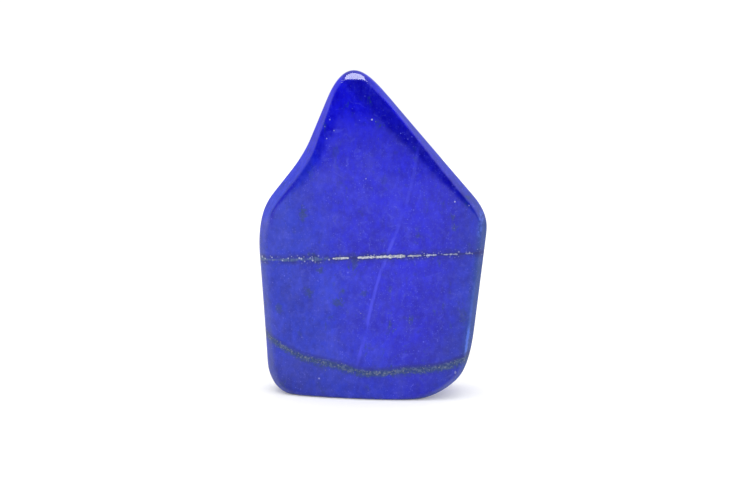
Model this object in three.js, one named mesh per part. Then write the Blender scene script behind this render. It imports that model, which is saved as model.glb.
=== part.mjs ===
// A free-form of lapis lazuli, ground and polished all over, standing upright on a small flat
// cut at its foot. It is one stone: a leaning, slightly lopsided arrowhead with soft corners.
// Millimetres, +Z up. The broad polished front looks towards -Y, with +X to its right. The origin
// is on the flat cut, under the middle of the stone's bounding box.

import * as THREE from 'three';
import { mergeVertices } from 'three/addons/utils/BufferGeometryUtils.js';

// ---- Driving dimensions, mm ----

// Corners of the outline, clockwise as one faces the front. The rounding of a corner starts
// "before" along the side that leads to it and ends "after" along the side that leaves it.
const LEFT_SHOULDER = { x: -33.4, z: 52.5, before: 12, after: 8 };
const WAIST = { x: -19.2, z: 70.5, before: 6.5, after: 5 };
const APEX = { x: -6.2, z: 101.35, before: 14.2, after: 14.6 };
const RIGHT_SHOULDER = { x: 34.05, z: 54, before: 7, after: 5 };
const RIGHT_KNEE = { x: 28.75, z: 9.3, before: 11, after: 5 };
const RIGHT_FOOT = { x: 18.7, z: -0.9, before: 8.5, after: 14 };
const LEFT_FOOT = { x: -30.2, z: -0.6, before: 12, after: 9 };
const CORNERS = [
  LEFT_SHOULDER, WAIST, APEX, RIGHT_SHOULDER, RIGHT_KNEE, RIGHT_FOOT, LEFT_FOOT,
];

// Inner point that sees the whole outline; both broad faces are spread out from it.
const HEART = { x: 0, z: 40 };

// The section of the edge. A bevel of a width and a depth runs from the crease on the front to
// the lip on the outline; from there the side tapers in to the heel on the back. Crease, lip and
// heel are rounded over the given lengths. The front falls away over its reach to the outline.
const EDGE = {
  width: 1.05, depth: 2.4, crease: 0.4, lip: 0.6, taper: 2.2, heel: 3.6, fall: 0.6, reach: 6,
};
const RIGHT_SLOPE_EDGE = { width: 1.8, depth: 3, fall: 0.5, reach: 4.2 };
const APEX_EDGE = { width: 1.7, depth: 1.7, lip: 1.7, taper: 3.4, heel: 3 };
const LEFT_SLOPE_EDGE = { width: 2.7, depth: 4.2, fall: 0.7, reach: 6.7 };
const LEFT_FLANK_EDGE = { width: 3.2, depth: 2.6, crease: 2.2, lip: 1.6, fall: 0.8, reach: 12 };
const RIGHT_SIDE_EDGE = { width: 1.6, depth: 1.8, crease: 0.6, fall: 0.2, reach: 6 };
const FOOT_EDGE = {
  width: 1.6, depth: 1.5, crease: 1, lip: 0.5, taper: 0.3, heel: 2.4, fall: 0.3,
};

// The zones of the outline with a section of their own. The share of each grows from 0 to 1
// while a coordinate goes from the first limit to the second.
const ZONES = [
  { edge: RIGHT_SLOPE_EDGE, limits: { x: [5, 27] } },
  { edge: LEFT_SLOPE_EDGE, limits: { x: [-4, -21] } },
  { edge: APEX_EDGE, limits: { z: [86, 94] } },
  { edge: LEFT_FLANK_EDGE, limits: { x: [-20, -28], z: [56, 44] } },
  { edge: RIGHT_SIDE_EDGE, limits: { x: [20, 28], z: [56, 48] } },
  { edge: FOOT_EDGE, limits: { z: [5, -1] } },
];

// The crease is held below a height near the apex, so that it runs level there; the larger the
// power, the more abruptly.
const CREASE_TOP = 92.5;
const CREASE_POWER = 7;

// The front: how far it stands before the middle plane, where it stands proudest, how much it
// bows across at the top and at the foot (mm of fall per square mm of distance) with the limits
// in height between them, and how far it falls back from a height on towards the apex.
const FRONT_DEPTH = 12.5;
const FRONT_CREST = { x: 6, z: 35 };
const BOW_AT_TOP = 0.0022;
const BOW_AT_FOOT = 0.0048;
const BOW_LIMITS = [70, 10];
const BOW_UPWARD = 0.00006;
const APEX_FALL = { depth: 1.8, from: 78, reach: 21 };

// The back: broad planes ground one after another, each "depth" behind the middle plane at the
// origin and changing by perX and perZ. BACK_BLEND is how softly they run into each other.
const BACK_PLANES = [
  { depth: 13.2, perX: -0.02, perZ: -0.03 }, // the main plane
  { depth: 22.0, perX: 0.03, perZ: -0.19 }, // leaning in towards the apex
  { depth: 17.6, perX: 0.32, perZ: -0.02 }, // turned to the left
  { depth: 18.5, perX: -0.3, perZ: -0.01 }, // turned to the right
  { depth: 11.4, perX: 0, perZ: 0.22 }, // above the foot
];
const BACK_BLEND = 0.7;

// Faint unevenness of a hand-held polish: height and length of the waves, their heading in
// degrees from +X towards +Z, and their shift along it.
const FRONT_WAVES = [
  { height: 0.03, length: 31, heading: 25, shift: 4 },
  { height: 0.012, length: 19, heading: 110, shift: 9 },
];
const BACK_WAVES = [
  { height: 0.12, length: 37, heading: 60, shift: 3 },
  { height: 0.07, length: 23, heading: 140, shift: 11 },
];

// The flat cut at z = 0, and half the height over which the stone's edge rolls onto it.
const FOOT_ROLL = 0.5;

// The mesh: columns round the outline, steps over each broad face and round the heel, the lip
// and the crease, and how strongly the columns crowd into the corners (mm per radian of turn).
const COLUMNS = 96;
const FACE_STEPS = 10;
const HEEL_STEPS = 5;
const LIP_STEPS = 3;
const CREASE_STEPS = 3;
const CORNER_CROWDING = 6;
const OUTLINE_STEPS = 2400;
const OUTLINE_SOFTENING = 1.2;

const LAPIS = new THREE.MeshStandardMaterial({ color: 0x2a2fa6, roughness: 0.12, metalness: 0 });

// ---- The outline ----

// Smooth step from 0 to 1 while value goes from start to end.
function fade(value, start, end) {
  return THREE.MathUtils.smoothstep(THREE.MathUtils.inverseLerp(start, end, value), 0, 1);
}

// A point "distance" away from one corner in the direction of another.
function along(from, to, distance) {
  const start = new THREE.Vector2(from.x, from.z);
  const heading = new THREE.Vector2(to.x, to.z).sub(start).normalize();
  return start.addScaledVector(heading, distance);
}

// Straight sides joined by a quadratic curve round each corner, as evenly spaced points.
function roundedOutline() {
  const path = new THREE.Path();
  CORNERS.forEach((corner, i) => {
    const previous = CORNERS.at(i - 1);
    const next = CORNERS[(i + 1) % CORNERS.length];
    const start = along(corner, previous, corner.before);
    const end = along(corner, next, corner.after);
    if (i === 0) path.moveTo(start.x, start.y);
    else path.lineTo(start.x, start.y);
    path.quadraticCurveTo(corner.x, corner.z, end.x, end.y);
  });
  path.closePath();
  return path.getSpacedPoints(OUTLINE_STEPS).slice(0, OUTLINE_STEPS);
}

// A running mean over the closed outline, so that its curvature changes without a jump.
function softened(points) {
  const count = points.length;
  const step = points[0].distanceTo(points[1]);
  const reach = Math.round(OUTLINE_SOFTENING / step);
  return points.map((_, i) => {
    const mean = new THREE.Vector2();
    for (let k = -reach; k <= reach; k += 1) mean.add(points[(i + k + count) % count]);
    return mean.divideScalar(2 * reach + 1);
  });
}

// COLUMNS stations round the outline, crowded where it turns. Each has its point, and how far
// the side line through it passes from the heart.
function outlineStations() {
  const points = softened(softened(roundedOutline()));
  const count = points.length;
  const heading = points.map((point, i) => {
    const chord = points[(i + 1) % count].clone().sub(points.at(i - 1));
    return Math.atan2(chord.y, chord.x);
  });
  const travelled = [0];
  for (let i = 0; i < count; i += 1) {
    const next = (i + 1) % count;
    const turn = heading[next] - heading[i];
    const turned = Math.abs(Math.atan2(Math.sin(turn), Math.cos(turn)));
    travelled.push(travelled[i] + points[i].distanceTo(points[next]) + CORNER_CROWDING * turned);
  }
  const stations = [];
  let i = 0;
  for (let column = 0; column < COLUMNS; column += 1) {
    const wanted = (travelled[count] * column) / COLUMNS;
    while (travelled[i + 1] <= wanted) i += 1;
    const part = (wanted - travelled[i]) / (travelled[i + 1] - travelled[i]);
    const point = points[i].clone().lerp(points[(i + 1) % count], part);
    const outward = { x: -Math.sin(heading[i]), z: Math.cos(heading[i]) };
    const reach = (point.x - HEART.x) * outward.x + (point.y - HEART.z) * outward.z;
    stations.push({ x: point.x, z: point.y, reach });
  }
  return stations;
}

// ---- The edge and the broad faces ----

// The section of the edge at a station of the outline: the general one, changed into that of
// each zone by how much the station belongs to it.
function edgeSection(station) {
  const section = { ...EDGE };
  ZONES.forEach(({ edge, limits }) => {
    const share = Object.entries(limits).reduce(
      (product, [axis, [start, end]]) => product * fade(station[axis], start, end), 1,
    );
    Object.entries(edge).forEach(([name, value]) => {
      section[name] = THREE.MathUtils.lerp(section[name], value, share);
    });
  });
  const tooHigh = Math.max(0, station.z - CREASE_TOP);
  const held = (station.reach * tooHigh) / (CREASE_TOP - HEART.z + tooHigh);
  section.width = (section.width ** CREASE_POWER + held ** CREASE_POWER) ** (1 / CREASE_POWER);
  return section;
}

// Sum of straight sine waves.
function waveHeight(waves, x, z) {
  return waves.reduce((sum, wave) => {
    const angle = THREE.MathUtils.degToRad(wave.heading);
    const run = x * Math.cos(angle) + z * Math.sin(angle) + wave.shift;
    return sum + wave.height * Math.sin((2 * Math.PI * run) / wave.length);
  }, 0);
}

// How far the front stands before the middle plane.
function frontDepth(x, z) {
  const bow = THREE.MathUtils.lerp(BOW_AT_TOP, BOW_AT_FOOT, fade(z, ...BOW_LIMITS));
  const across = bow * (x - FRONT_CREST.x) ** 2;
  const upward = BOW_UPWARD * (z - FRONT_CREST.z) ** 2;
  const apex = APEX_FALL.depth * Math.max(0, (z - APEX_FALL.from) / APEX_FALL.reach) ** 3;
  return FRONT_DEPTH - across - upward - apex + waveHeight(FRONT_WAVES, x, z);
}

// How far the back stands behind the middle plane: the smallest of its planes, softly blended.
function backDepth(x, z) {
  const crowd = BACK_PLANES.reduce((sum, plane) => {
    const depth = plane.depth + plane.perX * x + plane.perZ * z;
    return sum + Math.exp(-depth / BACK_BLEND);
  }, 0);
  return -BACK_BLEND * Math.log(crowd) + waveHeight(BACK_WAVES, x, z);
}

// Heights below the cut are brought up to it, with a short parabola as the edge.
function cutAtFoot(z) {
  if (z <= -FOOT_ROLL) return 0;
  if (z >= FOOT_ROLL) return z;
  return (z + FOOT_ROLL) ** 2 / (4 * FOOT_ROLL);
}

// A corner rounded by a quadratic curve that starts and ends at a reach along its two sides.
function rounded(before, corner, after, reach, steps) {
  const start = corner.clone().add(before.clone().sub(corner).setLength(reach));
  const end = corner.clone().add(after.clone().sub(corner).setLength(reach));
  return new THREE.QuadraticBezierCurve3(start, corner, end).getPoints(steps);
}

// The stone's section through one station of the outline, from the middle of the back over the
// heel, the lip and the crease to the middle of the front. A point's inset is how far it has been
// drawn in from the outline towards the heart.
function sectionPoints(station) {
  const edge = edgeSection(station);
  const drawnIn = (inset) => {
    const spread = 1 - inset / station.reach;
    const x = HEART.x + (station.x - HEART.x) * spread;
    const z = HEART.z + (station.z - HEART.z) * spread;
    return { x, z };
  };
  const onFront = (inset, sunk = 0) => {
    const { x, z } = drawnIn(inset);
    const fall = edge.fall * Math.max(0, 1 - inset / edge.reach) ** 2;
    return new THREE.Vector3(x, fall + sunk - frontDepth(x, z), z);
  };
  const onBack = (inset) => {
    const { x, z } = drawnIn(inset);
    return new THREE.Vector3(x, backDepth(x, z), z);
  };
  const heelInset = edge.taper + edge.heel;
  const creaseInset = edge.width + edge.crease;
  const heel = onBack(edge.taper);
  const lip = onFront(0, edge.depth);
  const crease = onFront(edge.width);
  const back = [];
  const front = [];
  for (let step = 0; step < FACE_STEPS; step += 1) {
    const outward = step / FACE_STEPS;
    back.push(onBack(THREE.MathUtils.lerp(station.reach, heelInset, outward)));
    front.unshift(onFront(THREE.MathUtils.lerp(station.reach, creaseInset, outward)));
  }
  return [
    ...back,
    ...rounded(onBack(heelInset), heel, lip, edge.heel, HEEL_STEPS),
    ...rounded(heel, lip, crease, edge.lip, LIP_STEPS),
    ...rounded(lip, crease, onFront(creaseInset), edge.crease, CREASE_STEPS),
    ...front,
  ];
}

// A sphere's mesh, with its poles on the Y axis, is laid over the stone's sections.
function stoneGeometry() {
  const sections = outlineStations().map(sectionPoints);
  const rows = sections[0].length - 1;
  const sphere = new THREE.SphereGeometry(1, COLUMNS, rows);
  const { position, uv } = sphere.attributes;
  for (let i = 0; i < position.count; i += 1) {
    const column = THREE.MathUtils.euclideanModulo(Math.round(uv.getX(i) * COLUMNS), COLUMNS);
    const row = Math.round((1 - uv.getY(i)) * rows);
    const point = sections[column][row];
    position.setXYZ(i, point.x, point.y, cutAtFoot(point.z));
  }
  sphere.deleteAttribute('normal');
  sphere.deleteAttribute('uv');
  const stone = mergeVertices(sphere, 1e-4);
  stone.computeBoundingBox();
  const middle = stone.boundingBox.getCenter(new THREE.Vector3());
  stone.translate(-middle.x, -middle.y, -stone.boundingBox.min.z);
  stone.computeVertexNormals();
  return stone;
}

const stone = new THREE.Mesh(stoneGeometry(), LAPIS);
stone.name = 'lapis_stone';

const part = new THREE.Group();
part.add(stone);

export default part;
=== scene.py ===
"""A polished lapis lazuli free-form: its fine surface, its finish and a plain studio."""

import math

import bpy
import numpy as np
from bpy.props import FloatProperty, FloatVectorProperty, IntProperty, PointerProperty
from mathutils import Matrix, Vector


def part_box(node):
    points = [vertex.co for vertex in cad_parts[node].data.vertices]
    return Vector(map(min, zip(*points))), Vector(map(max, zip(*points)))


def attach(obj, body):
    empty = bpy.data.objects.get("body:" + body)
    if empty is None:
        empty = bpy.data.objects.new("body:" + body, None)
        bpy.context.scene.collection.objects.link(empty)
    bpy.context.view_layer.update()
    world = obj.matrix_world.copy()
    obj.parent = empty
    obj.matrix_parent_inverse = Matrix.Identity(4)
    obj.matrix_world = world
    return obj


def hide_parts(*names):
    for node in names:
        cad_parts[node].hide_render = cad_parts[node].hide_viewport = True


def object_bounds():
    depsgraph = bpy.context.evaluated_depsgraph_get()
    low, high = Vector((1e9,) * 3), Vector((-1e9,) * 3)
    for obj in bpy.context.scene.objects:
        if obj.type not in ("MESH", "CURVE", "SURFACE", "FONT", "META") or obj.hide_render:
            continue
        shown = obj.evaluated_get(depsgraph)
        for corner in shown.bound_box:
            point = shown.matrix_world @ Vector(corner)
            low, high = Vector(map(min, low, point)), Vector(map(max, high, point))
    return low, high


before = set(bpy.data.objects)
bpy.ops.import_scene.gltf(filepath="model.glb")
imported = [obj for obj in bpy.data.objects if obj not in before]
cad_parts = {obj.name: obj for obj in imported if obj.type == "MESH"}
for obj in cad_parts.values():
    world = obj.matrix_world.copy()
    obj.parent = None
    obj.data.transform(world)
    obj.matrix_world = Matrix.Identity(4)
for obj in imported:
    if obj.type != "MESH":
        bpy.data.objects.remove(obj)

bl_info = {
    "name": "Polished Lapis Freeform",
    "version": (1, 0, 0),
    "blender": (4, 5, 0),
    "location": "View3D > Sidebar > Lapis",
    "description": "Builds a standing polished free-form of lapis lazuli and lights it",
    "category": "Add Mesh",
}

CAD_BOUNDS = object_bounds()
STONE_NODE = "lapis_stone"
STONE_BOX = np.array(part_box(STONE_NODE))
MM = 0.001

# ---- Shape of the stone, in mm, before it is set into the node's box ----

# Corners of the outline, clockwise as one faces the front: x, z, and how far the rounding
# reaches along the side before the corner and along the side after it.
CORNERS = {
    "left shoulder": (-33.4, 52.5, 12.0, 8.0),
    "waist": (-19.2, 70.5, 6.5, 5.0),
    "apex": (-6.2, 101.35, 14.2, 14.6),
    "right shoulder": (34.05, 54.0, 7.0, 5.0),
    "right knee": (28.75, 9.3, 11.0, 5.0),
    "right foot": (18.7, -0.9, 8.5, 14.0),
    "left foot": (-30.2, -0.6, 12.0, 9.0),
}
HEART = (0.0, 40.0)

# The section of the edge. A bevel of a width and a depth runs from the crease on the front to
# the lip on the outline; from there the side tapers in to the heel on the back. Crease, lip and
# heel are rounded over the given lengths. The front falls away over its reach to the outline.
EDGE = {
    "width": 1.05, "depth": 2.4, "crease": 0.4, "lip": 0.6, "taper": 2.2, "heel": 3.6,
    "fall": 0.6, "reach": 6.0,
}
RIGHT_SLOPE_EDGE = {"width": 1.8, "depth": 3.0, "fall": 0.5, "reach": 4.2}
APEX_EDGE = {"width": 1.7, "depth": 1.7, "lip": 1.7, "taper": 3.4, "heel": 3.0}
LEFT_SLOPE_EDGE = {"width": 2.7, "depth": 4.2, "fall": 0.7, "reach": 6.7}
LEFT_FLANK_EDGE = {
    "width": 3.2, "depth": 2.6, "crease": 2.2, "lip": 1.6, "fall": 0.8, "reach": 12.0,
}
RIGHT_SIDE_EDGE = {"width": 1.6, "depth": 1.8, "crease": 0.6, "fall": 0.2, "reach": 6.0}
FOOT_EDGE = {
    "width": 1.6, "depth": 1.5, "crease": 1.0, "lip": 0.5, "taper": 0.3, "heel": 2.4,
    "fall": 0.3,
}

# The zones of the outline with a section of their own. The share of each grows from 0 to 1
# while a coordinate goes from the first limit to the second.
ZONES = (
    (RIGHT_SLOPE_EDGE, ("x", 5.0, 27.0)),
    (LEFT_SLOPE_EDGE, ("x", -4.0, -21.0)),
    (APEX_EDGE, ("z", 86.0, 94.0)),
    (LEFT_FLANK_EDGE, ("x", -20.0, -28.0), ("z", 56.0, 44.0)),
    (RIGHT_SIDE_EDGE, ("x", 20.0, 28.0), ("z", 56.0, 48.0)),
    (FOOT_EDGE, ("z", 5.0, -1.0)),
)

# The crease is held below a height near the apex, so that it runs level there; the larger the
# power, the more abruptly.
CREASE_TOP = 92.5
CREASE_POWER = 7.0

FRONT_DEPTH = 12.5
FRONT_CREST = (6.0, 35.0)
BOW_AT_TOP = 0.0022
BOW_AT_FOOT = 0.0048
BOW_LIMITS = (70.0, 10.0)
BOW_UPWARD = 0.00006
APEX_FALL = 1.8
APEX_FALL_START = 78.0
APEX_FALL_REACH = 21.0
APEX_FALL_LIMIT = 1.2

# The ground planes of the back: depth at the origin, change per mm of x and per mm of z.
BACK_PLANES = (
    (13.2, -0.02, -0.03),
    (22.0, 0.03, -0.19),
    (17.6, 0.32, -0.02),
    (18.5, -0.3, -0.01),
    (11.4, 0.0, 0.22),
)
BACK_BLEND = 0.7

# Waves of a hand-held polish: height, length, heading in degrees from +X to +Z, shift.
FRONT_WAVES = ((0.03, 31.0, 25.0, 4.0), (0.012, 19.0, 110.0, 9.0))
BACK_WAVES = ((0.12, 37.0, 60.0, 3.0), (0.07, 23.0, 140.0, 11.0))

FOOT_ROLL = 0.5
CORNER_CROWDING = 6.0
OUTLINE_STEPS = 6000
OUTLINE_SOFTENING = 1.2
CORNER_STEPS = 200


def fade(value, start, end):
    """Smooth step from 0 to 1 while value goes from start to end."""
    part = np.clip((value - start) / (end - start), 0.0, 1.0)
    return part * part * (3.0 - 2.0 * part)


def spaced(points, steps):
    """The closed line through the points, as equal steps of its length."""
    closed = np.vstack([points, points[:1]])
    travelled = np.append(0.0, np.cumsum(np.linalg.norm(np.diff(closed, axis=0), axis=1)))
    wanted = np.linspace(0.0, travelled[-1], steps, endpoint=False)
    columns = [np.interp(wanted, travelled, closed[:, axis]) for axis in (0, 1)]
    return np.stack(columns, axis=1), travelled[-1] / steps


def rounded_outline(steps):
    """Straight sides joined by quadratic curves that start and end at the given reaches."""
    table = np.array(list(CORNERS.values()))
    corner = table[:, :2]
    to_previous = np.roll(corner, 1, axis=0) - corner
    to_next = np.roll(corner, -1, axis=0) - corner
    to_previous /= np.linalg.norm(to_previous, axis=1, keepdims=True)
    to_next /= np.linalg.norm(to_next, axis=1, keepdims=True)
    start = corner + to_previous * table[:, 2:3]
    end = corner + to_next * table[:, 3:4]
    t = np.linspace(0.0, 1.0, CORNER_STEPS)[None, :, None]
    curve = ((1 - t) ** 2 * start[:, None] + 2 * t * (1 - t) * corner[:, None]
             + t ** 2 * end[:, None])
    return spaced(curve.reshape(-1, 2), steps)


def softened(points, reach):
    """A running mean over the closed line, reach points to either side."""
    width = 2 * reach + 1
    padded = np.vstack([points[-reach:], points, points[:reach]])
    sums = np.cumsum(np.vstack([np.zeros((1, 2)), padded]), axis=0)
    return (sums[width:] - sums[:-width]) / width


def outline_stations(columns):
    """Points of the outline at equal steps of length plus crowding times turning angle,
    and how far the tangent through each passes from the heart."""
    points, step = rounded_outline(OUTLINE_STEPS)
    reach = round(OUTLINE_SOFTENING / step)
    points = softened(softened(points, reach), reach)
    chord = np.roll(points, -1, axis=0) - np.roll(points, 1, axis=0)
    heading = np.unwrap(np.arctan2(chord[:, 1], chord[:, 0]))
    heading = np.append(heading, heading[0] - 2 * math.pi)
    length = np.linalg.norm(np.roll(points, -1, axis=0) - points, axis=1)
    travelled = np.append(0.0, np.cumsum(length + CORNER_CROWDING * np.abs(np.diff(heading))))
    wanted = np.linspace(0.0, travelled[-1], columns, endpoint=False)
    closed = np.vstack([points, points[:1]])
    x, z, angle = (np.interp(wanted, travelled, line)
                   for line in (closed[:, 0], closed[:, 1], heading))
    tangent_distance = (z - HEART[1]) * np.cos(angle) - (x - HEART[0]) * np.sin(angle)
    return x, z, tangent_distance


def edge_section(x, z):
    """The section of the edge at points of the outline: the general one, changed into that of
    each zone by how much the point belongs to it."""
    place = {"x": x, "z": z}
    section = {name: np.full_like(x, value) for name, value in EDGE.items()}
    for zone, *limits in ZONES:
        share = math.prod(fade(place[axis], start, end) for axis, start, end in limits)
        for name, value in zone.items():
            section[name] += (value - section[name]) * share
    return section


def wave_height(waves, x, z):
    """Sum of straight sine waves."""
    total = 0.0
    for height, length, degrees, shift in waves:
        angle = math.radians(degrees)
        run = x * math.cos(angle) + z * math.sin(angle) + shift
        total = total + height * np.sin(2 * math.pi * run / length)
    return total


def front_depth(x, z):
    """How far the front stands before the middle plane: a crest less a bow across, a bow
    upward and the fall towards the apex."""
    bow = BOW_AT_TOP + (BOW_AT_FOOT - BOW_AT_TOP) * fade(z, *BOW_LIMITS)
    depth = FRONT_DEPTH - bow * (x - FRONT_CREST[0]) ** 2 - BOW_UPWARD * (z - FRONT_CREST[1]) ** 2
    near_apex = np.clip((z - APEX_FALL_START) / APEX_FALL_REACH, 0.0, APEX_FALL_LIMIT)
    return depth - APEX_FALL * near_apex ** 3 + wave_height(FRONT_WAVES, x, z)


def back_depth(x, z):
    """How far the back stands behind the middle plane: the soft minimum of its planes."""
    crowd = sum(np.exp(-(depth + per_x * x + per_z * z) / BACK_BLEND)
                for depth, per_x, per_z in BACK_PLANES)
    return -BACK_BLEND * np.log(crowd) + wave_height(BACK_WAVES, x, z)


def cut_at_foot(z):
    """Heights below the flat cut are brought up to it, with a short parabola as the edge."""
    edge = (np.clip(z, -FOOT_ROLL, FOOT_ROLL) + FOOT_ROLL) ** 2 / (4 * FOOT_ROLL)
    return np.where(z >= FOOT_ROLL, z, edge)


def rounded(before, corner, after, reach_before, reach_after, rows):
    """Rows of quadratic curves round corners, that start and end at reaches along both sides."""
    start = corner + unit(before - corner) * reach_before[:, None]
    end = corner + unit(after - corner) * reach_after[:, None]
    t = np.linspace(0.0, 1.0, rows)[:, None, None]
    return (1 - t) ** 2 * start + 2 * t * (1 - t) * corner + t ** 2 * end


def unit(vectors):
    return vectors / np.linalg.norm(vectors, axis=-1, keepdims=True)


def stone_surface(form):
    """The stone as rows of points, from the middle of the back over the outline to the middle
    of the front. Each row is the outline drawn in towards the heart by an inset, and lies on the
    back, on the rounded heel, on the rounded lip, on the rounded crease or on the front."""
    x_out, z_out, tangent_distance = outline_stations(form.columns)
    edge = edge_section(x_out, z_out)
    too_high = np.maximum(z_out - CREASE_TOP, 0.0)
    held = tangent_distance * too_high / (CREASE_TOP - HEART[1] + too_high)
    edge["width"] = (edge["width"] ** CREASE_POWER + held ** CREASE_POWER) ** (1 / CREASE_POWER)

    def drawn_in(inset):
        spread = 1.0 - inset / tangent_distance
        return HEART[0] + (x_out - HEART[0]) * spread, HEART[1] + (z_out - HEART[1]) * spread

    def on_front(inset, sunk=0.0):
        x, z = drawn_in(inset)
        fall = edge["fall"] * np.clip(1.0 - inset / edge["reach"], 0.0, 1.0) ** 2
        return np.stack([x, fall + sunk - front_depth(x, z), z], axis=-1)

    def on_back(inset):
        x, z = drawn_in(inset)
        return np.stack([x, back_depth(x, z), z], axis=-1)

    crease_inset = edge["width"] + edge["crease"]
    heel_inset = edge["taper"] + edge["heel"]
    crease = on_front(edge["width"])
    lip = on_front(np.zeros_like(x_out), edge["depth"])
    heel = on_back(edge["taper"])
    out = np.linspace(0.0, 1.0, form.face_rows + 1)[:-1, None]
    back = on_back(tangent_distance - (tangent_distance - heel_inset) * out)
    front = on_front(tangent_distance - (tangent_distance - crease_inset) * out[::-1])
    rows = np.concatenate([
        back,
        rounded(on_back(heel_inset), heel, lip, edge["heel"], edge["heel"], form.heel_rows),
        rounded(heel, lip, crease, edge["lip"], edge["lip"], form.edge_rows),
        rounded(lip, crease, on_front(crease_inset), edge["crease"], edge["crease"],
                form.edge_rows),
        front,
    ])
    rows[..., 2] = cut_at_foot(rows[..., 2])
    return rows


def set_into_box(points, box):
    """The points moved and evenly stretched so that they just fill the node's box."""
    low = points.reshape(-1, 3).min(axis=0)
    high = points.reshape(-1, 3).max(axis=0)
    return box[0] + (points - low) / (high - low) * (box[1] - box[0])


def closed_mesh(name, rows):
    """A closed mesh of rows that run round the object, the first and last row being a point."""
    count = rows.shape[1]
    inner = rows[1:-1]
    points = np.vstack([rows[:1, 0], inner.reshape(-1, 3), rows[-1:, 0]])
    row, column = np.meshgrid(np.arange(len(inner) - 1), np.arange(count), indexing="ij")
    here = 1 + row * count + column
    beside = 1 + row * count + (column + 1) % count
    quads = np.stack([here, here + count, beside + count, beside], axis=-1).reshape(-1, 4)
    ring = np.arange(count)
    after = (ring + 1) % count
    last = 1 + (len(inner) - 1) * count
    first_cap = np.stack([np.zeros(count, int), 1 + ring, 1 + after], axis=-1)
    last_cap = np.stack([last + ring, np.full(count, len(points) - 1), last + after], axis=-1)
    mesh = bpy.data.meshes.new(name)
    mesh.from_pydata(points.tolist(), [], quads.tolist() + first_cap.tolist() + last_cap.tolist())
    mesh.shade_smooth()
    mesh.update()
    piece = bpy.data.objects.new(name, mesh)
    bpy.context.scene.collection.objects.link(piece)
    return piece


# ---- Shader maths ----

class Number:
    """A number socket that takes part in Python expressions and adds Math nodes."""

    def __init__(self, bench, socket):
        self.bench = bench
        self.socket = socket

    def __add__(self, other):
        return self.bench.maths("ADD", self, other)

    def __radd__(self, other):
        return self.bench.maths("ADD", other, self)

    def __sub__(self, other):
        return self.bench.maths("SUBTRACT", self, other)

    def __rsub__(self, other):
        return self.bench.maths("SUBTRACT", other, self)

    def __mul__(self, other):
        return self.bench.maths("MULTIPLY", self, other)

    def __rmul__(self, other):
        return self.bench.maths("MULTIPLY", other, self)

    def __truediv__(self, other):
        return self.bench.maths("DIVIDE", self, other)

    def __abs__(self):
        return self.bench.maths("ABSOLUTE", self)


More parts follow.
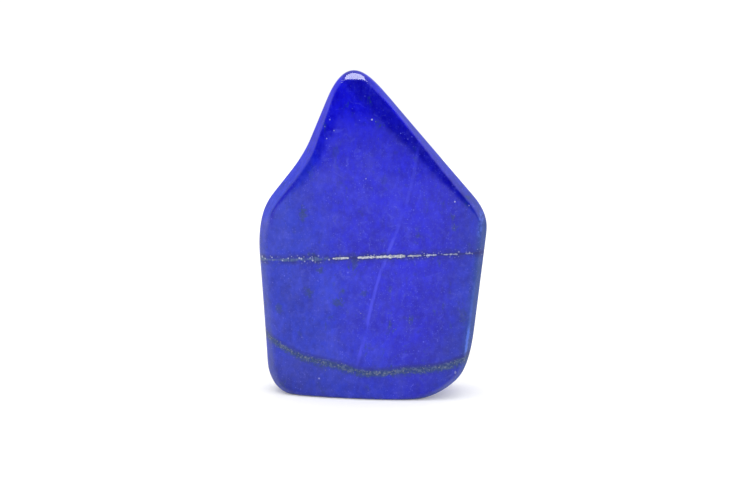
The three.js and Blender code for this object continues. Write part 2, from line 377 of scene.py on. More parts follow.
class Bench:
    """A node tree that materials and the world are put together on."""

    def __init__(self, tree):
        self.tree = tree
        tree.nodes.clear()

    def node(self, kind, settings=None, **sockets):
        """A node of a kind, with its settings made first and its sockets filled or linked.
        A socket is named by its label in lower case with _ for spaces, or by in0, in1, ..."""
        node = self.tree.nodes.new(kind)
        for name, value in (settings or {}).items():
            setattr(node, name, value)
        by_label = {}
        for socket in node.inputs:
            if socket.enabled:
                by_label.setdefault(socket.name.lower().replace(" ", "_"), socket)
        for name, value in sockets.items():
            if name.startswith("in") and name[2:].isdigit():
                target = node.inputs[int(name[2:])]
            else:
                target = by_label[name]
            if isinstance(value, Number):
                value = value.socket
            if isinstance(value, bpy.types.NodeSocket):
                self.tree.links.new(value, target)
            else:
                target.default_value = value
        return node

    def maths(self, operation, *values):
        sockets = {f"in{i}": value for i, value in enumerate(values)}
        node = self.node("ShaderNodeMath", {"operation": operation}, **sockets)
        return Number(self, node.outputs[0])

    def smaller(self, first, second):
        return self.maths("MINIMUM", first, second)

    def larger(self, first, second):
        return self.maths("MAXIMUM", first, second)

    def ramp(self, value, start, end):
        """Smooth step from 0 at start to 1 at end; end may lie below start."""
        node = self.node("ShaderNodeMapRange", {"interpolation_type": "SMOOTHSTEP"},
                         value=value, from_min=start, from_max=end)
        return Number(self, node.outputs[0])

    def band(self, distance, half_width, softness):
        """1 within half_width of a line or sheet, fading to 0 over softness."""
        return self.ramp(abs(distance), half_width + softness, half_width)

    def window(self, value, low, high, softness):
        """1 from low to high, fading to 0 over softness outside."""
        return self.band(value - (low + high) / 2, (high - low) / 2, softness)

    def wave(self, value, length, start):
        """A sine wave of a length that rises through 0 at start."""
        return self.maths("SINE", (value - start) * (2 * math.pi / length))

    def scaled(self, colour, factor):
        """The colour times a number."""
        node = self.node("ShaderNodeVectorMath", {"operation": "SCALE"}, in0=colour, in3=factor)
        return node.outputs[0]

    def tint(self, mask, under, over):
        """The colour under, changed to the colour over where mask is 1."""
        node = self.node("ShaderNodeMix", {"data_type": "RGBA"}, in0=mask, in6=under, in7=over)
        return node.outputs[2]

    def moved(self, place, scale=(1.0, 1.0, 1.0), shift=(0.0, 0.0, 0.0)):
        """A place stretched and shifted by a Mapping node."""
        node = self.node("ShaderNodeMapping", None, vector=place, scale=scale, location=shift)
        return node.outputs[0]

    def cloud(self, place, size, detail=2.0, roughness=0.5, distortion=0.0):
        """Noise from 0 to 1 whose lumps measure about size."""
        node = self.node("ShaderNodeTexNoise", None, vector=place, scale=1.0 / size,
                         detail=detail, roughness=roughness, distortion=distortion)
        return Number(self, node.outputs[0])

    def specks(self, place, spacing, share, radius, softness=0.4):
        """Scattered grains: a share of cells of the spacing hold one, up to radius across."""
        cells = self.node("ShaderNodeTexVoronoi", None, vector=place, scale=1.0 / spacing)
        pick = self.node("ShaderNodeSeparateColor", None, color=cells.outputs["Color"])
        chosen = self.ramp(Number(self, pick.outputs[0]), 1.0 - share, 1.0 - share + 0.02)
        size = (0.45 + 0.55 * Number(self, pick.outputs[1])) * (radius / spacing)
        inside = self.ramp(Number(self, cells.outputs["Distance"]), size, size * (1.0 - softness))
        return inside * chosen

    def hairlines(self, place, spacing, width):
        """Fine bent lines, about spacing apart."""
        return self.ramp(abs(self.cloud(place, spacing, 1.0) - 0.5), width / spacing, 0.0)


# ---- Finish of the stone ----

# Markings near the front: x, z and half the breadth and height of each in mm, and its strength.
GREEN_PATCHES = (
    (-19.5, 54.4, 1.1, 2.4, 1.0), (-9.9, 72.2, 0.9, 1.8, 0.4), (-17.1, 65.7, 1.0, 1.8, 0.4),
    (-9.5, 28.5, 1.6, 1.3, 1.0), (26.3, 25.0, 1.0, 2.6, 0.6), (-14.4, 37.7, 1.2, 0.9, 1.0),
    (-17.9, 31.0, 1.1, 1.5, 0.9), (-26.9, 25.7, 1.2, 1.4, 0.8), (-1.9, 31.4, 1.2, 0.9, 0.8),
    (3.8, 64.4, 0.9, 1.4, 0.3), (-4.5, 39.8, 0.9, 2.6, 0.9),
)
WHITE_SPECKS = (
    (0.4, 81.4, 0.27, 0.27, 0.8), (23.9, 58.1, 0.25, 0.25, 0.8), (-10.4, 78.1, 0.2, 0.2, 0.5),
    (-11.6, 81.2, 0.2, 0.2, 0.4), (-12.5, 75.8, 0.2, 0.2, 0.5), (24.3, 8.3, 0.3, 0.5, 0.35),
)

# The gold seam: bars of gold, from x to x, and half the thickness of each.
GOLD_BARS = (
    (-10.8, -6.4, 0.24), (-3.6, 2.4, 0.30), (2.8, 9.7, 0.38), (10.9, 14.1, 0.18),
    (15.4, 18.9, 0.14), (20.8, 24.6, 0.12), (27.0, 29.0, 0.08),
)

# Where the front lies once the stone fills the node's box, in mm: how far the plane through its
# crest stands before the origin, and the x of the crest.
FRONT_PLANE = 12.7
FRONT_CREST_X = 5.7

# Spots fade out between these depths behind the plane of the front.
SPOT_DEPTHS = (8.0, 5.0)

# Straight edges of the front: the right slope, where these shares of x and of z add up to the
# distance, and the right side, by its x at a height and how far it leans out per mm of height.
SLOPE_SHARES = (0.764, 0.646)
SLOPE_DISTANCE = 60.4
SIDE_X = 27.9
SIDE_HEIGHT = 8.8
SIDE_LEAN = 0.1217

# The sheets through the stone, each by a level, a lean and a bend: the gold seam and the lower
# vein over x, the healed crack over z.
SEAM_LEVEL, SEAM_LEAN, SEAM_BEND = 41.9, 0.056, 0.0006
VEIN_LEVEL, VEIN_LEAN, VEIN_BEND = 8.3, 0.05, 0.0068
CRACK_LEVEL, CRACK_LEAN, CRACK_BEND = 8.4, 0.345, 0.00062

# The polish: its refraction, and the size in mm and the height in m of its ripple.
REFRACTION = 1.41
RIPPLE_SIZE = 5.0
RIPPLE_HEIGHT = 0.0001


class Rock:
    """Where a point lies in the stone, in mm, and noises that several markings share."""

    def __init__(self, bench):
        coordinates = bench.node("ShaderNodeTexCoord")
        self.bench = bench
        self.place = bench.moved(coordinates.outputs["Object"], scale=(1000.0, 1000.0, 1000.0))
        split = bench.node("ShaderNodeSeparateXYZ", None, vector=self.place)
        self.x, self.y, self.z = (Number(bench, socket) for socket in split.outputs)
        self.behind = self.y + FRONT_PLANE
        self.jitter = bench.cloud(self.place, 0.9, 2.0, 0.6) - 0.5
        self.lumps = bench.cloud(bench.moved(self.place, shift=(13.0, 5.0, 9.0)), 2.4, 2.0) - 0.5

    def elsewhere(self, *shift):
        return self.bench.moved(self.place, shift=shift)

    def spots(self, table, ragged):
        """Spots near the front, with edges that the jitter makes ragged."""
        total = 0.0
        for x, z, across, upward, strength in table:
            aside = (self.x - x) / across
            above = (self.z - z) / upward
            reach = aside * aside + above * above + self.jitter * ragged
            total = self.bench.larger(total, self.bench.ramp(reach, 1.4, 0.2) * strength)
        return total * self.bench.ramp(self.behind, *SPOT_DEPTHS)


def ground_colour_and_shade(rock, finish):
    """Ultramarine that drifts, mottles and runs in faint upright fibres, greyer low on the left
    and towards the right; with painted shade that dims it along the right slope, at both flanks
    and below the lower vein, and a painted contact shadow at the very foot."""
    bench, place, x, z = rock.bench, rock.place, rock.x, rock.z
    drift = bench.cloud(place, 17.0, 2.0)
    mottle = bench.cloud(bench.moved(place, scale=(1.0, 1.0, 0.7)), 2.0, 4.0, 0.65)
    fibre = bench.cloud(bench.moved(place, scale=(1.0, 1.0, 0.2)), 0.8, 2.0)
    tone = drift * 0.32 + mottle * 0.56 + fibre * 0.12
    tone = bench.ramp(tone, 0.34, 0.66)
    colour = bench.tint(tone, finish.deep_blue, finish.bright_blue)
    greyed = bench.scaled(finish.greyed_blue[:3], tone * 0.5 + 0.75)
    low_left = bench.ramp(drift * 30.0 - x - z * 0.4, -6.0, 28.0)
    right = bench.ramp(drift * 10.0 + x - z * 0.15, 16.0, 30.0)
    colour = bench.tint(bench.larger(low_left * 0.65, right * 0.6), colour, greyed)
    from_slope = SLOPE_DISTANCE - (x * SLOPE_SHARES[0] + z * SLOPE_SHARES[1])
    slope_shade_reach = from_slope + bench.larger(x - 6.0, 0.0) * 0.2
    low = z - bench.larger(x, 0.0) * 0.3
    # Painted shade: darker along the right slope, at both flanks and low down towards the right; a
    # painted contact shadow darkens the very foot.
    light = 1.0 - bench.ramp(from_slope, 0.8, 2.0) * bench.ramp(slope_shade_reach, 8.0, 5.0) * 0.36
    for along, start, end, loss in (
            (x, -4.0, -28.0, 0.15), (x - z * 0.2, 0.0, 26.0, 0.22),
            (low, 15.0, 8.0, 0.18), (z, 1.0, 0.2, 0.5)):
        light = light * (1.0 - bench.ramp(along, start, end) * loss)
    return bench.scaled(colour, light)


def rim_tint_and_painted_light(rock, finish, colour):
    """A greener, duller blue, partly stone colour and partly painted shade, where the surface has
    turned down from the front, most of all on the right side; a painted highlight that brightens
    the blue, fine lines and small chips along the left slope, with a painted shade line inside its
    crease; and just inside the right side an azure streak below that is partly a painted highlight,
    and a painted highlight spot above."""
    bench, x, z = rock.bench, rock.x, rock.z
    bow = BOW_AT_TOP + (BOW_AT_FOOT - BOW_AT_TOP) * bench.ramp(z, *BOW_LIMITS)
    aside = x - FRONT_CREST_X
    above = bench.larger((z - APEX_FALL_START) / APEX_FALL_REACH, 0.0)
    sunk = rock.behind - bow * (aside * aside) - (above * above * above) * APEX_FALL
    # Partly painted shade: where the surface turns down from the front, the rim takes a darker,
    # greener blue.
    rim = bench.ramp(sunk, 0.4, 1.6) * bench.ramp(sunk, 13.0, 8.0)
    duller = bench.ramp(x, -4.0, 6.0) * 0.3 + bench.ramp(z, 50.0, 40.0) * 0.25
    colour = bench.tint(rim * duller, colour, finish.rim_blue_and_shade)

    left_slope = bench.ramp(x, -6.0, -11.0) * bench.ramp(z, 48.0, 54.0)
    # Painted highlight: the blue is brightened on the left slope's bevel.
    colour = bench.scaled(colour, left_slope * bench.ramp(sunk, 0.5, 1.2) * 0.28 + 1.0)
    # Painted shade: a darker line just inside the left slope's crease.
    inside = bench.window(sunk, 0.14, 0.32, 0.08) * left_slope * bench.ramp(z, 67.0, 61.0)
    colour = bench.tint(inside * 0.85, colour, finish.deep_blue)
    lines = bench.ramp(bench.cloud(bench.moved(rock.place, (0.2, 1.6, 0.2)), 1.0), 0.42, 0.62)
    lines = lines * bench.ramp(sunk, 0.2, 0.6) * 0.08
    chips = bench.specks(rock.elsewhere(11.0, 2.0, 7.0), 1.5, 0.6, 0.55, 0.6)
    chips = chips * bench.window(sunk, 0.55, 0.95, 0.15) * 0.7
    colour = bench.tint(bench.larger(lines, chips) * left_slope, colour, finish.pale_dust_and_reflection)

    inset = SIDE_X - x + (z - SIDE_HEIGHT) * SIDE_LEAN + rock.jitter * 0.7
    near_front = bench.ramp(rock.behind + rock.lumps * 6.0, 14.0, 2.0)
    # Partly painted shade: the same darker, greener blue just inside the right side.
    side = bench.ramp(inset, 3.6, 0.6) * bench.ramp(z, 56.0, 50.0) * bench.ramp(z, 4.0, 12.0)
    colour = bench.tint(side * near_front * 0.85, colour, finish.rim_blue_and_shade)
    # The azure streak is partly stone colour and partly a painted highlight along the right crease;
    # the spot above it is a painted highlight.
    streak = bench.band(inset - 1.35, 0.1, 0.5) * bench.window(z, 14.0, 31.0, 5.0)
    streak = streak * (0.2 + bench.window(z, 14.0, 20.0, 3.0) * 0.55)
    right_crease_highlight = bench.band(inset - 2.0, 0.2, 0.8) * bench.window(z, 49.0, 54.0, 2.0)
    right_crease_highlight = right_crease_highlight * bench.larger(0.2 + rock.jitter * 2.5, 0.0)
    return bench.tint(bench.larger(streak, right_crease_highlight) * near_front, colour, finish.azure)


def with_dust(rock, finish, colour):
    """Pale dust in clusters, a pale film of painted reflection, some larger pale specks, dark
    grains and hairline scratches.
    """
    bench = rock.bench
    cluster = bench.cloud(rock.elsewhere(31.0, 0.0, 7.0), 6.0, 3.0, 0.6)
    fine = bench.specks(rock.place, 0.62, 0.55, 0.24, 0.8) * bench.ramp(cluster, 0.25, 0.6)
    haze = bench.ramp(bench.cloud(rock.place, 0.4, 2.0, 0.7), 0.5, 0.85)
    bloom = bench.ramp(bench.cloud(rock.elsewhere(6.0, 6.0, 0.0), 1.6, 3.0, 0.6), 0.45, 0.75)
    # Painted reflection: a pale film, strongest on the left, fading towards the right and above 70
    # to 84 mm, mixed in with the dust.
    reflection_veil = bench.ramp(bench.cloud(rock.elsewhere(2.0, 7.0, 5.0), 6.0, 4.0, 0.6), 0.38, 0.66)
    reflection_veil = reflection_veil * (1.0 - bench.ramp(rock.x, 0.0, 24.0) * 0.7) * bench.ramp(rock.z, 84.0, 70.0)
    clearer = 1.0 - bench.ramp(rock.z, 60.0, 84.0) * 0.6
    dust = (fine * 0.45 + haze * 0.15 + bloom * 0.1) * clearer + reflection_veil * 0.1
    colour = bench.tint(dust, colour, finish.pale_dust_and_reflection)
    coarse = bench.specks(rock.elsewhere(8.0, 2.0, 4.0), 1.7, 0.45, 0.30, 0.7)
    colour = bench.tint(coarse * bench.ramp(cluster, 0.38, 0.6) * 0.65, colour, finish.pale_dust_and_reflection)
    bright = bench.specks(rock.elsewhere(1.0, 6.0, 3.0), 4.5, 0.25, 0.34, 0.6)
    colour = bench.tint(bright * 0.55, colour, finish.white_dust)
    dark = bench.specks(rock.elsewhere(5.0, 9.0, 2.0), 1.3, 0.4, 0.42, 0.9)
    colour = bench.tint(dark * 0.4, colour, finish.dark_matrix)
    blotch = bench.specks(rock.elsewhere(17.0, 3.0, 11.0), 3.1, 0.45, 1.0, 0.95)
    colour = bench.tint(blotch * (0.35 + rock.jitter), colour, finish.dark_matrix)
    worn = bench.ramp(bench.cloud(rock.elsewhere(3.0, 8.0, 1.0), 4.0, 3.0, 0.7), 0.50, 0.64)
    upright = bench.moved(rock.place, (1.0, 1.0, 0.5), (4.0, 0.0, 6.0))
    level = bench.moved(rock.place, (0.6, 1.0, 1.0))
    scratch = bench.larger(bench.hairlines(upright, 5.0, 0.12), bench.hairlines(level, 6.0, 0.12))
    return bench.tint(scratch * worn * 0.15, colour, finish.pale_dust_and_reflection)


def with_patches(rock, finish, colour):
    """Grey-green patches, each with a few lighter grains, and single white specks."""
    bench = rock.bench
    upright = bench.moved(rock.place, (1.0, 1.0, 0.6), (3.0, 17.0, 41.0))
    cloudy = bench.ramp(bench.cloud(upright, 3.6, 4.0, 0.65), 0.60, 0.76)
    patch = bench.larger(cloudy, rock.spots(GREEN_PATCHES, 6.0) * 0.9)
    colour = bench.tint(patch * (0.7 + rock.jitter * 1.5), colour, finish.patch_green)
    grains = bench.specks(rock.elsewhere(4.0, 4.0, 4.0), 0.7, 0.45, 0.26, 0.7) * patch
    colour = bench.tint(grains * 0.45, colour, finish.olive_grit)
    return bench.tint(rock.spots(WHITE_SPECKS, 0.4), colour, finish.white_dust)


def with_crack(rock, finish, colour):
    """A healed crack: a thin, bent sheet of brighter blue that comes and goes."""
    bench, z = rock.bench, rock.z
    bend = bench.wave(z, 50.0, 47.0) * 0.8
    path = z * CRACK_LEAN - (z * z) * CRACK_BEND - CRACK_LEVEL + bend + rock.behind * 0.15
    faint = bench.ramp(bench.cloud(bench.moved(rock.place, (1.0, 1.0, 0.4)), 3.0, 2.0), 0.30, 0.55)
    strength = bench.window(z, 11.0, 72.0, 3.0) * faint
    strength = strength * (0.28 + bench.window(z, 16.0, 46.0, 6.0) * 0.6)
    crack = bench.band(rock.x - path + rock.lumps * 0.5, 0.2, 0.5) * strength
    return bench.tint(crack, colour, finish.crack_blue)


def with_vein(rock, finish, colour):
    """The lower vein: a bowl-shaped sheet of dark olive rock full of light grains, ragged, with
    a darker shade above it."""
    bench, x = rock.bench, rock.x
    bowl = x * x * VEIN_BEND - x * VEIN_LEAN + VEIN_LEVEL + bench.wave(x, 21.0, 5.0) * 0.35
    offset = rock.z - bowl - rock.behind * 0.08 + rock.jitter * 1.1
    half = 0.75 + rock.lumps * 1.1
    mottle = bench.cloud(rock.elsewhere(3.0, 0.0, 9.0), 1.1, 3.0, 0.7)
    core = bench.ramp(abs(offset) - half, 0.55, -0.45) * bench.ramp(mottle, 0.15, 0.5)
    shade = bench.band(offset - 0.9, 0.3, 1.0) * (0.5 + bench.ramp(x, -5.0, 15.0) * 0.3)
    colour = bench.tint(shade * (0.9 + rock.jitter), colour, finish.dark_matrix)
    below = bench.band(offset + 0.8, 0.3, 0.9) * bench.ramp(mottle, 0.4, 0.65)
    colour = bench.tint(below * 0.7, colour, finish.patch_green)
    rock_colour = bench.tint(bench.ramp(mottle, 0.42, 0.66), finish.dark_olive, finish.green_matrix)
    colour = bench.tint(core * 0.9, colour, rock_colour)
    grit = bench.specks(rock.elsewhere(7.0, 7.0, 7.0), 0.55, 0.7, 0.34, 0.9)
    stray = bench.specks(rock.elsewhere(9.0, 1.0, 6.0), 0.9, 0.5, 0.26, 0.7)
    colour = bench.tint(grit * core * 0.55, colour, finish.olive_grit)
    return bench.tint(stray * bench.band(offset, 0.8, 1.2) * 0.6, colour, finish.olive_grit)


def with_seam(rock, finish, colour):
    """The gold seam: a nearly level sheet. On the left a greyed thread with flecks over and under
    it, in the middle bars of gold between dark lines, on the right pale dashes and flecks along
    a dark thread.
    Returns the colour and where gold lies."""
    bench, x = rock.bench, rock.x
    level = SEAM_LEVEL + x * SEAM_LEAN - (x * x) * SEAM_BEND + rock.behind * 0.05
    offset = rock.z - level + rock.jitter * 0.35
    beads = bench.cloud(bench.moved(rock.place, (1.0, 1.0, 0.3)), 0.75, 2.0, 0.6) - 0.5
    left = bench.window(x, -40.0, -13.0, 1.5)
    right = bench.ramp(x, 12.0, 16.0)

    greyed = bench.band(offset, 0.1 + rock.lumps * 1.4, 0.45)
    halo = bench.band(offset, 0.7, 1.4) * (0.4 + left * 0.1) * (1.0 + rock.lumps * 4.0)
    colour = bench.tint(halo, colour, finish.dark_matrix)
    colour = bench.tint(greyed * left * (0.7 + beads * 3.0), colour, finish.thread_grey)

    bars = 0.0
    for low, high, half in GOLD_BARS:
        bars = bench.window(x, low, high, 0.3) * half + bars
    gold_half = bars * (1.0 + beads * (2.6 + right * 5.0))
    middle = bench.window(x, -11.4, 33.0, 0.6)
    dark_half = gold_half + 0.22 - right * 0.06
    colour = bench.tint(bench.band(offset, dark_half, 0.3) * middle * (0.8 + beads), colour,
                        finish.dark_matrix)
    gold = bench.ramp(abs(offset) - gold_half, 0.07, -0.07) * bench.ramp(gold_half, 0.03, 0.09)

    crowded = bench.ramp(rock.lumps, -0.10, 0.04)
    near = bench.band(offset - 0.1, 0.3, 1.3) * (0.15 + left * 0.85 + right * 0.4) * crowded
    near = bench.larger(near, bench.band(offset, 0.3, 0.9) * crowded * 0.6)
    flecks = bench.specks(rock.elsewhere(2.0, 3.0, 5.0), 0.8, 0.7, 0.42, 0.5) * near
    pale_flecks = flecks * bench.larger(left, right)
    pale = bench.larger(gold * right * (1.0 - bench.ramp(x, 14.0, 28.0) * 0.55), pale_flecks)
    colour = bench.tint(pale * 0.9, colour, finish.white_dust)
    return colour, bench.larger(gold, flecks) * (1.0 - bench.larger(left, right) * 0.85)


def lapis_material(finish):
    """Polished lapis lazuli, with gold that is a little rougher than the stone."""
    material = bpy.data.materials.new("lapis_polish")
    material.use_nodes = True
    bench = Bench(material.node_tree)
    rock = Rock(bench)
    colour = ground_colour_and_shade(rock, finish)
    for marking in (rim_tint_and_painted_light, with_dust, with_patches, with_crack, with_vein):
        colour = marking(rock, finish, colour)
    colour, gold = with_seam(rock, finish, colour)
    scattered = bench.specks(rock.elsewhere(6.0, 1.0, 8.0), 3.4, 0.16, 0.24, 0.4)
    gold = bench.smaller(bench.larger(gold, scattered * 0.6), 1.0)
    # Painted glints: each pyrite grain is a lit or a dimmer, shaded copy of the same colour, mixed
    # at random.
    lit_and_shaded_gold = bench.tint(bench.ramp(bench.cloud(rock.place, 0.5, 2.0), 0.35, 0.65),
                            finish.shaded_gold, finish.gold)
    colour = bench.tint(gold, colour, lit_and_shaded_gold)
    ripple = bench.cloud(rock.place, RIPPLE_SIZE, 2.0)
    bump = bench.node("ShaderNodeBump", None, strength=finish.ripple,
                      distance=RIPPLE_HEIGHT, height=ripple)
    shader = bench.node("ShaderNodeBsdfPrincipled", None, base_color=colour, metallic=gold * 0.5,
                        roughness=gold * 0.2 + finish.polish, ior=REFRACTION,
                        normal=bump.outputs[0])
    bench.node("ShaderNodeOutputMaterial", None, surface=shader.outputs[0])
    return material


# ---- Properties ----

def colour_property(name, description, default):
    return FloatVectorProperty(name=name, description=description, default=(*default, 1.0),
                               size=4, subtype="COLOR", min=0.0, max=1.0)


class LapisForm(bpy.types.PropertyGroup):
    """Fineness of the surface."""

    columns: IntProperty(name="Columns", description="Points round the outline",
                         default=480, min=24)
    face_rows: IntProperty(name="Face rows", description="Rows over each broad face",
                           default=56, min=4)
    edge_rows: IntProperty(name="Edge rows", description="Rows round the lip and the crease",
                           default=12, min=3)
    heel_rows: IntProperty(name="Heel rows", description="Rows round the back edge",
                           default=18, min=3)


class LapisFinish(bpy.types.PropertyGroup):
    """Colours and polish of the stone."""

    deep_blue: colour_property("Deep blue", "Darkest ground colour", (0.003, 0.001, 0.42))
    bright_blue: colour_property("Bright blue", "Lightest ground colour", (0.008, 0.008, 0.65))
    greyed_blue: colour_property("Greyed blue", "Ground low on the left", (0.01, 0.038, 0.46))
    # Partly stone colour, partly painted shade round the edge.
    rim_blue_and_shade: colour_property("Rim blue", "Ground round the edge", (0.008, 0.046, 0.21))
    # Partly stone colour, partly painted highlight inside the right side.
    azure: colour_property("Azure", "Streak inside the right side", (0.07, 0.16, 0.72))
    crack_blue: colour_property("Crack blue", "Healed crack", (0.045, 0.05, 0.72))
    # Dust, and also the pale film of painted reflection on the front.
    pale_dust_and_reflection: colour_property("Pale dust", "Calcite dust and scratches", (0.12, 0.14, 0.74))
    white_dust: colour_property("White dust", "Larger calcite grains", (0.4, 0.44, 0.68))
    dark_matrix: colour_property("Dark matrix", "Dark grains and selvages", (0.006, 0.012, 0.17))
    thread_grey: colour_property("Thread grey", "Greyed thread of the seam", (0.06, 0.11, 0.26))
    green_matrix: colour_property("Green matrix", "Lighter rock of the lower vein",
                                  (0.07, 0.11, 0.22))
    patch_green: colour_property("Patch green", "Green patches", (0.013, 0.042, 0.075))
    dark_olive: colour_property("Dark olive", "Rock of the lower vein", (0.008, 0.035, 0.13))
    olive_grit: colour_property("Olive grit", "Light grains of the vein", (0.26, 0.27, 0.27))
    # Painted glints: a lit and a shaded copy of pyrite.
    gold: colour_property("Gold", "Pyrite in the light", (0.6, 0.62, 0.72))
    shaded_gold: colour_property("Dark gold", "Pyrite in its dimmer grains", (0.21, 0.23, 0.33))
    polish: FloatProperty(name="Polish", description="Roughness of the polished stone",
                          default=0.05, min=0.0, max=1.0)
    ripple: FloatProperty(name="Ripple", description="Strength of the polish's ripple",
                          default=0.25, min=0.0, max=1.0)


class StudioSetup(bpy.types.PropertyGroup):
    """Camera and light round the stone."""

    azimuth: FloatProperty(name="Azimuth", description="Camera's turn to the right of the front",
                           default=math.radians(4.0), subtype="ANGLE")
    elevation: FloatProperty(name="Elevation", description="Camera's height over the level",
                             default=math.radians(10.0), subtype="ANGLE")
    distance: FloatProperty(name="Distance", description="From the camera to its target",
                            default=0.7, unit="LENGTH")
    target: FloatVectorProperty(name="Target", description="What the camera looks at",
                                default=(0.0004, -0.0002, 0.042), subtype="TRANSLATION")
    lens: FloatProperty(name="Lens", description="Focal length in mm", default=115.86, min=1.0)
    floor_radius: FloatProperty(name="Floor radius", description="Radius of the pale floor",
                                default=0.5, unit="LENGTH")
    floor_colour: colour_property("Floor colour", "Colour of the pale floor", (0.80, 0.80, 0.78))
    floor_glow: FloatProperty(name="Floor glow", default=0.22, min=0.0,
                              description="Light that comes up through the floor")
    overhead: FloatProperty(name="Overhead light", description="Strength of the soft top light",
                            default=0.3, min=0.0)
    overhead_lean: FloatProperty(name="Overhead lean", default=math.radians(12.0),
                                 description="Lean of the top light to the front",
                                 subtype="ANGLE")
    fill: FloatProperty(name="Fill light", description="Strength of the light from the front",
                        default=1.08, min=0.0)
    softbox: FloatProperty(name="Softbox", description="Brightness of the mirrored softbox",
                           default=14.0, min=0.0)
    surround: FloatProperty(name="Surround", description="Brightness of the white surroundings",
                            default=1.05, min=0.0)
    left_side: FloatProperty(name="Left side", description="Brightness of the room to the left",
                             default=0.6, min=0.0)
    far_floor: FloatProperty(name="Far floor", default=1.0, min=0.0,
                             description="Brightness of what lies beyond the floor in front")
    zenith: FloatProperty(name="Zenith", description="Brightness straight overhead",
                          default=1.8, min=0.0)
    side_light: FloatProperty(name="Side light", default=1.3, min=0.0,
                              description="Brightness of the soft light to the right")
    front_dark: FloatProperty(name="Dark front", default=0.01, min=0.0,
                              description="Brightness of the room on the camera's side")


# ---- Operators ----

class LAPIS_OT_stone(bpy.types.Operator):
    """Build the fine surface of the stone, finish it and let it stand for the plain solid"""

    bl_idname = "lapis.stone"
    bl_label = "Stone"

    def execute(self, context):
        rows = set_into_box(stone_surface(context.scene.lapis_form), STONE_BOX)
        stone = closed_mesh("polished_lapis", rows)
        stone.data.materials.append(lapis_material(context.scene.lapis_finish))
        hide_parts(STONE_NODE)
        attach(stone, "root")
        return {"FINISHED"}


# ---- Studio ----

# Places and sizes in m, turns and spreads in degrees.
FLOOR_SIDES = 128
FLOOR_GAP = 0.01 * MM
CAMERA_WHITE = 1.03
OVERHEAD_SPREAD = 50.0
OVERHEAD_PLACE = (0.0, 0.0, 0.6)
FILL_SPREAD = 60.0
FILL_LEAN = 62.0
FILL_PLACE = (0.0, -0.4, 0.4)
SOFTBOX_SIZE = (1.6, 0.22)
SOFTBOX_TURN = 3.0
SOFTBOX_PLACE = (-0.3, -0.09, 0.85)
SENSOR_WIDTH_MM = 36.0


def studio_floor(setup):
    """A pale, faintly glowing disc just under the stone."""
    angle = np.linspace(0.0, 2 * math.pi, FLOOR_SIDES, endpoint=False)
    rim = np.stack([np.cos(angle), np.sin(angle), np.zeros(FLOOR_SIDES)], axis=1)
    mesh = bpy.data.meshes.new("floor")
    mesh.from_pydata((rim * setup.floor_radius).tolist(), [], [list(range(FLOOR_SIDES))])
    floor = bpy.data.objects.new("floor", mesh)
    bpy.context.scene.collection.objects.link(floor)
    material = bpy.data.materials.new("pale_floor")
    material.use_nodes = True
    bench = Bench(material.node_tree)
    shader = bench.node("ShaderNodeBsdfPrincipled", None, base_color=setup.floor_colour,
                        roughness=1.0, specular_ior_level=0.0,
                        emission_color=(1.0, 1.0, 1.0, 1.0), emission_strength=setup.floor_glow)
    bench.node("ShaderNodeOutputMaterial", None, surface=shader.outputs[0])
    mesh.materials.append(material)
    floor.location.z = CAD_BOUNDS[0][2] - FLOOR_GAP


def studio_world(setup):
    """White surroundings, brighter overhead and to the right, dimmer to the left, with a dark
    room in front above the floor's far end; the camera itself sees plain white."""
    world = bpy.data.worlds.new("studio")
    world.use_nodes = True
    bench = Bench(world.node_tree)
    direction = bench.node("ShaderNodeTexCoord").outputs["Generated"]
    split = bench.node("ShaderNodeSeparateXYZ", None, vector=direction)
    x, y, z = (Number(bench, socket) for socket in split.outputs)
    overhead = bench.ramp(z, 0.80, 0.94)
    beside = bench.ramp(x, 0.55, 0.70) * bench.window(z, 0.14, 0.66, 0.10)
    below = bench.ramp(z, 0.0, -0.06) * bench.ramp(y, 0.0, -0.2)
    on_left = bench.ramp(x, -0.50, -0.62) * bench.window(z, 0.05, 0.45, 0.10)
    in_front = bench.ramp(y, -0.55, -0.72)
    above_floor = bench.ramp(z, -0.15, -0.05) * bench.ramp(z, 0.80, 0.70)
    seen = Number(bench, bench.node("ShaderNodeLightPath").outputs["Is Camera Ray"])
    light = setup.surround
    for share, level in (
            (overhead, setup.zenith), (beside, setup.side_light), (below, setup.far_floor),
            (on_left, setup.left_side), (in_front * above_floor, setup.front_dark),
            (seen, CAMERA_WHITE)):
        light = light + share * (level - light)
    shade = bench.node("ShaderNodeBackground", None, color=(1.0, 1.0, 1.0, 1.0), strength=light)
    bench.node("ShaderNodeOutputWorld", None, surface=shade.outputs[0])
    bpy.context.scene.world = world


def place_lamp(light, turn, location):
    """Put a light in the scene, turned from straight down."""
    lamp = bpy.data.objects.new(light.name, light)
    lamp.rotation_euler = turn
    lamp.location = location
    bpy.context.scene.collection.objects.link(lamp)
    return lamp


def place_sun(name, energy, spread, lean, location):
    """A soft sun that leans to the front and isn't mirrored in the polish."""
    light = bpy.data.lights.new(name, "SUN")
    light.energy = energy
    light.angle = math.radians(spread)
    place_lamp(light, (lean, 0.0, 0.0), location).visible_glossy = False


def studio_lights(setup):
    """A soft light overhead, a softer one from the front, and a narrow softbox overhead that
    only mirrors."""
    place_sun("overhead", setup.overhead, OVERHEAD_SPREAD, setup.overhead_lean, OVERHEAD_PLACE)
    place_sun("fill", setup.fill, FILL_SPREAD, math.radians(FILL_LEAN), FILL_PLACE)
    softbox = bpy.data.lights.new("softbox", "AREA")
    softbox.shape = "RECTANGLE"
    softbox.size, softbox.size_y = SOFTBOX_SIZE
    softbox.energy = setup.softbox * math.pi * softbox.size * softbox.size_y
    turn = (0.0, 0.0, math.radians(SOFTBOX_TURN))
    place_lamp(softbox, turn, SOFTBOX_PLACE).visible_diffuse = False


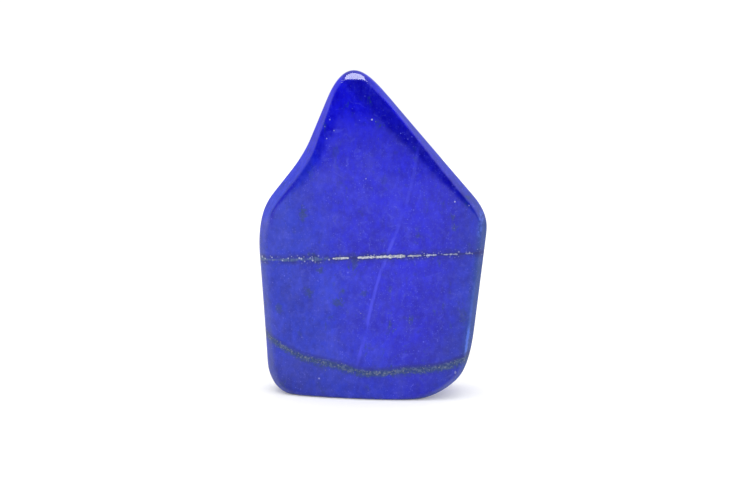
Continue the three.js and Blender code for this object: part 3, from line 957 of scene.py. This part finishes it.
def studio_camera(setup):
    """A long lens in front of the stone, a little to the right and above."""
    back = Vector((math.sin(setup.azimuth) * math.cos(setup.elevation),
                   -math.cos(setup.azimuth) * math.cos(setup.elevation),
                   math.sin(setup.elevation)))
    camera = bpy.data.objects.new("camera", bpy.data.cameras.new("camera"))
    camera.location = Vector(setup.target) + back * setup.distance
    camera.rotation_euler = back.to_track_quat("Z", "Y").to_euler()
    camera.data.lens = setup.lens
    camera.data.sensor_width = SENSOR_WIDTH_MM
    bpy.context.scene.collection.objects.link(camera)
    bpy.context.scene.camera = camera


class LAPIS_OT_studio(bpy.types.Operator):
    """Lay the pale floor, light the stone and set up the camera"""

    bl_idname = "lapis.studio"
    bl_label = "Studio"

    def execute(self, context):
        setup = context.scene.lapis_studio
        studio_floor(setup)
        studio_world(setup)
        studio_lights(setup)
        studio_camera(setup)
        context.scene.view_settings.view_transform = "Standard"
        return {"FINISHED"}


class LAPIS_PT_panel(bpy.types.Panel):
    """Lists the steps that build the stone and its studio"""

    bl_idname = "LAPIS_PT_panel"
    bl_label = "Polished lapis"
    bl_space_type = "VIEW_3D"
    bl_region_type = "UI"
    bl_category = "Lapis"

    def draw(self, context):
        for group, operator in (("lapis_form", "lapis.stone"), ("lapis_finish", None),
                                ("lapis_studio", "lapis.studio")):
            box = self.layout.box()
            settings = getattr(context.scene, group)
            for name in settings.__annotations__:
                box.prop(settings, name)
            if operator:
                box.operator(operator)


CLASSES = (LapisForm, LapisFinish, StudioSetup, LAPIS_OT_stone, LAPIS_OT_studio, LAPIS_PT_panel)


def register():
    for each in CLASSES:
        bpy.utils.register_class(each)
    bpy.types.Scene.lapis_form = PointerProperty(type=LapisForm)
    bpy.types.Scene.lapis_finish = PointerProperty(type=LapisFinish)
    bpy.types.Scene.lapis_studio = PointerProperty(type=StudioSetup)


def unregister():
    del bpy.types.Scene.lapis_studio
    del bpy.types.Scene.lapis_finish
    del bpy.types.Scene.lapis_form
    for each in reversed(CLASSES):
        bpy.utils.unregister_class(each)


def main():
    register()
    bpy.ops.lapis.studio()
    bpy.ops.lapis.stone()


if __name__ == "__main__":
    main()
